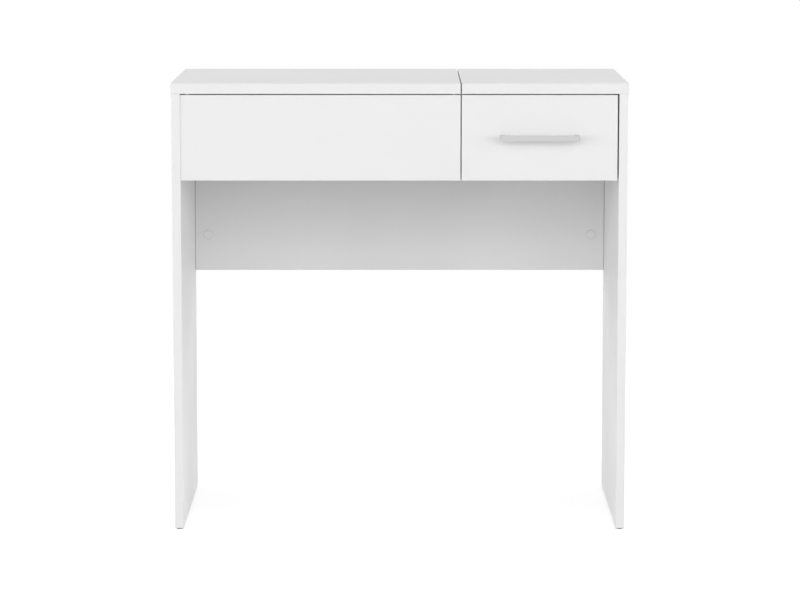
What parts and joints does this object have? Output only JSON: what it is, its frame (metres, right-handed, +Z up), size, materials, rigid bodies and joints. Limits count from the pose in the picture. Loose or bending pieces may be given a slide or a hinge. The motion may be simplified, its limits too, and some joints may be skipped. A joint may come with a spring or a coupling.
{
  "type": "flip top vanity table",
  "caption": "White board vanity table: a lid with a mirror under it flips up over a tray, beside a fixed top over a drawer with a bow handle, on two panel legs.",
  "frame": {"origin": "under the middle of the whole table, at floor level", "axes": "+X to the drawer end, +Y from the front to the back, +Z up; the front faces -Y"},
  "size_m": [0.79, 0.4313, 0.782],
  "materials": {
    "white_board": "white melamine faced board, satin",
    "hardboard": "white painted hardboard",
    "beech": "bare beech",
    "handle_metal": "satin",
    "steel": "zinc plated",
    "zinc": "die cast or turned, zinc grey",
    "runner_steel": "white powder coat",
    "nylon": "moulded nylon",
    "cover_plastic": "moulded white plastic",
    "glide_plastic": "moulded grey plastic",
    "clear_plastic": "clear soft plastic",
    "mirror": "silvered glass with a fine bevel",
    "foam_tape": "foam adhesive tape"
  },
  "bodies": {
    "carcass": {"left_side_panel": "white_board", "right_side_panel": "white_board", "back_panel": "white_board", "bottom_panel": "white_board", "divider_panel": "white_board", "fascia_panel": "white_board", "fixed_top": "white_board", "floor_glides": "glide_plastic", "lid_bumpers": "clear_plastic", "cam_barrels": "zinc", "cam_bolts": "steel", "cam_covers": "cover_plastic", "dowels": "beech", "angle_brackets": "steel", "angle_bracket_screws": "steel", "hinge_fixed_leaves": "steel", "hinge_pins": "zinc", "hinge_fixed_screws": "steel", "stay_slot_pin": "zinc", "cabinet_runner_left": "runner_steel", "cabinet_runner_right": "runner_steel", "cabinet_roller_pins": "zinc", "cabinet_runner_screws": "steel"},
    "lid": {"flip_lid": "white_board", "mirror_glass": "mirror", "mirror_adhesive_strips": "foam_tape", "hinge_lid_leaves": "steel", "hinge_lid_screws": "steel", "stay_lid_bracket": "steel", "stay_rivet": "zinc", "stay_bracket_screws": "steel"},
    "stay": {"stay_arm": "steel"},
    "drawer": {"drawer_front": "white_board", "drawer_left_side": "white_board", "drawer_right_side": "white_board", "drawer_back": "white_board", "drawer_bottom": "hardboard", "drawer_cam_barrels": "zinc", "drawer_cam_bolts": "steel", "drawer_dowels": "beech", "drawer_back_screws": "steel", "handle": "handle_metal", "handle_screws": "steel", "drawer_runner_left": "runner_steel", "drawer_runner_right": "runner_steel", "drawer_roller_pins": "zinc", "drawer_runner_screws": "steel"},
    "cabinet_roller_left_body": {"cabinet_roller_left": "nylon"},
    "cabinet_roller_right_body": {"cabinet_roller_right": "nylon"},
    "drawer_roller_left_body": {"drawer_roller_left": "nylon"},
    "drawer_roller_right_body": {"drawer_roller_right": "nylon"}
  },
  "joints": [
    {"name": "lid_hinge", "type": "hinge", "parent": "carcass", "child": "lid", "pos_m": [-0.145, 0.21265, 0.763], "axis": [-1, 0, 0], "range_deg": [0, 95]},
    {"name": "stay_pivot", "type": "hinge", "parent": "lid", "child": "stay", "pos_m": [-0.3725, 0.14396, 0.754], "axis": [-1, 0, 0], "range_deg": [-47.5, 0]},
    {"name": "drawer_slide", "type": "slide", "parent": "carcass", "child": "drawer", "axis": [0, -1, 0], "range_m": [0, 0.25]},
    {"name": "cabinet_roller_left_spin", "type": "hinge", "parent": "carcass", "child": "cabinet_roller_left_body", "pos_m": [0.119, -0.15865, 0.6435], "axis": [1, 0, 0], "range_deg": [0, 1687]},
    {"name": "cabinet_roller_right_spin", "type": "hinge", "parent": "carcass", "child": "cabinet_roller_right_body", "pos_m": [0.373, -0.15865, 0.6435], "axis": [1, 0, 0], "range_deg": [0, 1687]},
    {"name": "drawer_roller_left_spin", "type": "hinge", "parent": "drawer", "child": "drawer_roller_left_body", "pos_m": [0.119, 0.16135, 0.6428], "axis": [1, 0, 0], "range_deg": [0, 1687]},
    {"name": "drawer_roller_right_spin", "type": "hinge", "parent": "drawer", "child": "drawer_roller_right_body", "pos_m": [0.373, 0.16135, 0.6428], "axis": [1, 0, 0], "range_deg": [0, 1687]}
  ],
  "couplings": [
    {"joint": "stay_pivot", "follows": "lid_hinge", "ratio": -0.5},
    {"joint": "cabinet_roller_left_spin", "follows": "drawer_slide", "rad_per_m": 117.65},
    {"joint": "cabinet_roller_right_spin", "follows": "drawer_slide", "rad_per_m": 117.65},
    {"joint": "drawer_roller_left_spin", "follows": "drawer_slide", "rad_per_m": 117.65},
    {"joint": "drawer_roller_right_spin", "follows": "drawer_slide", "rad_per_m": 117.65}
  ]
}
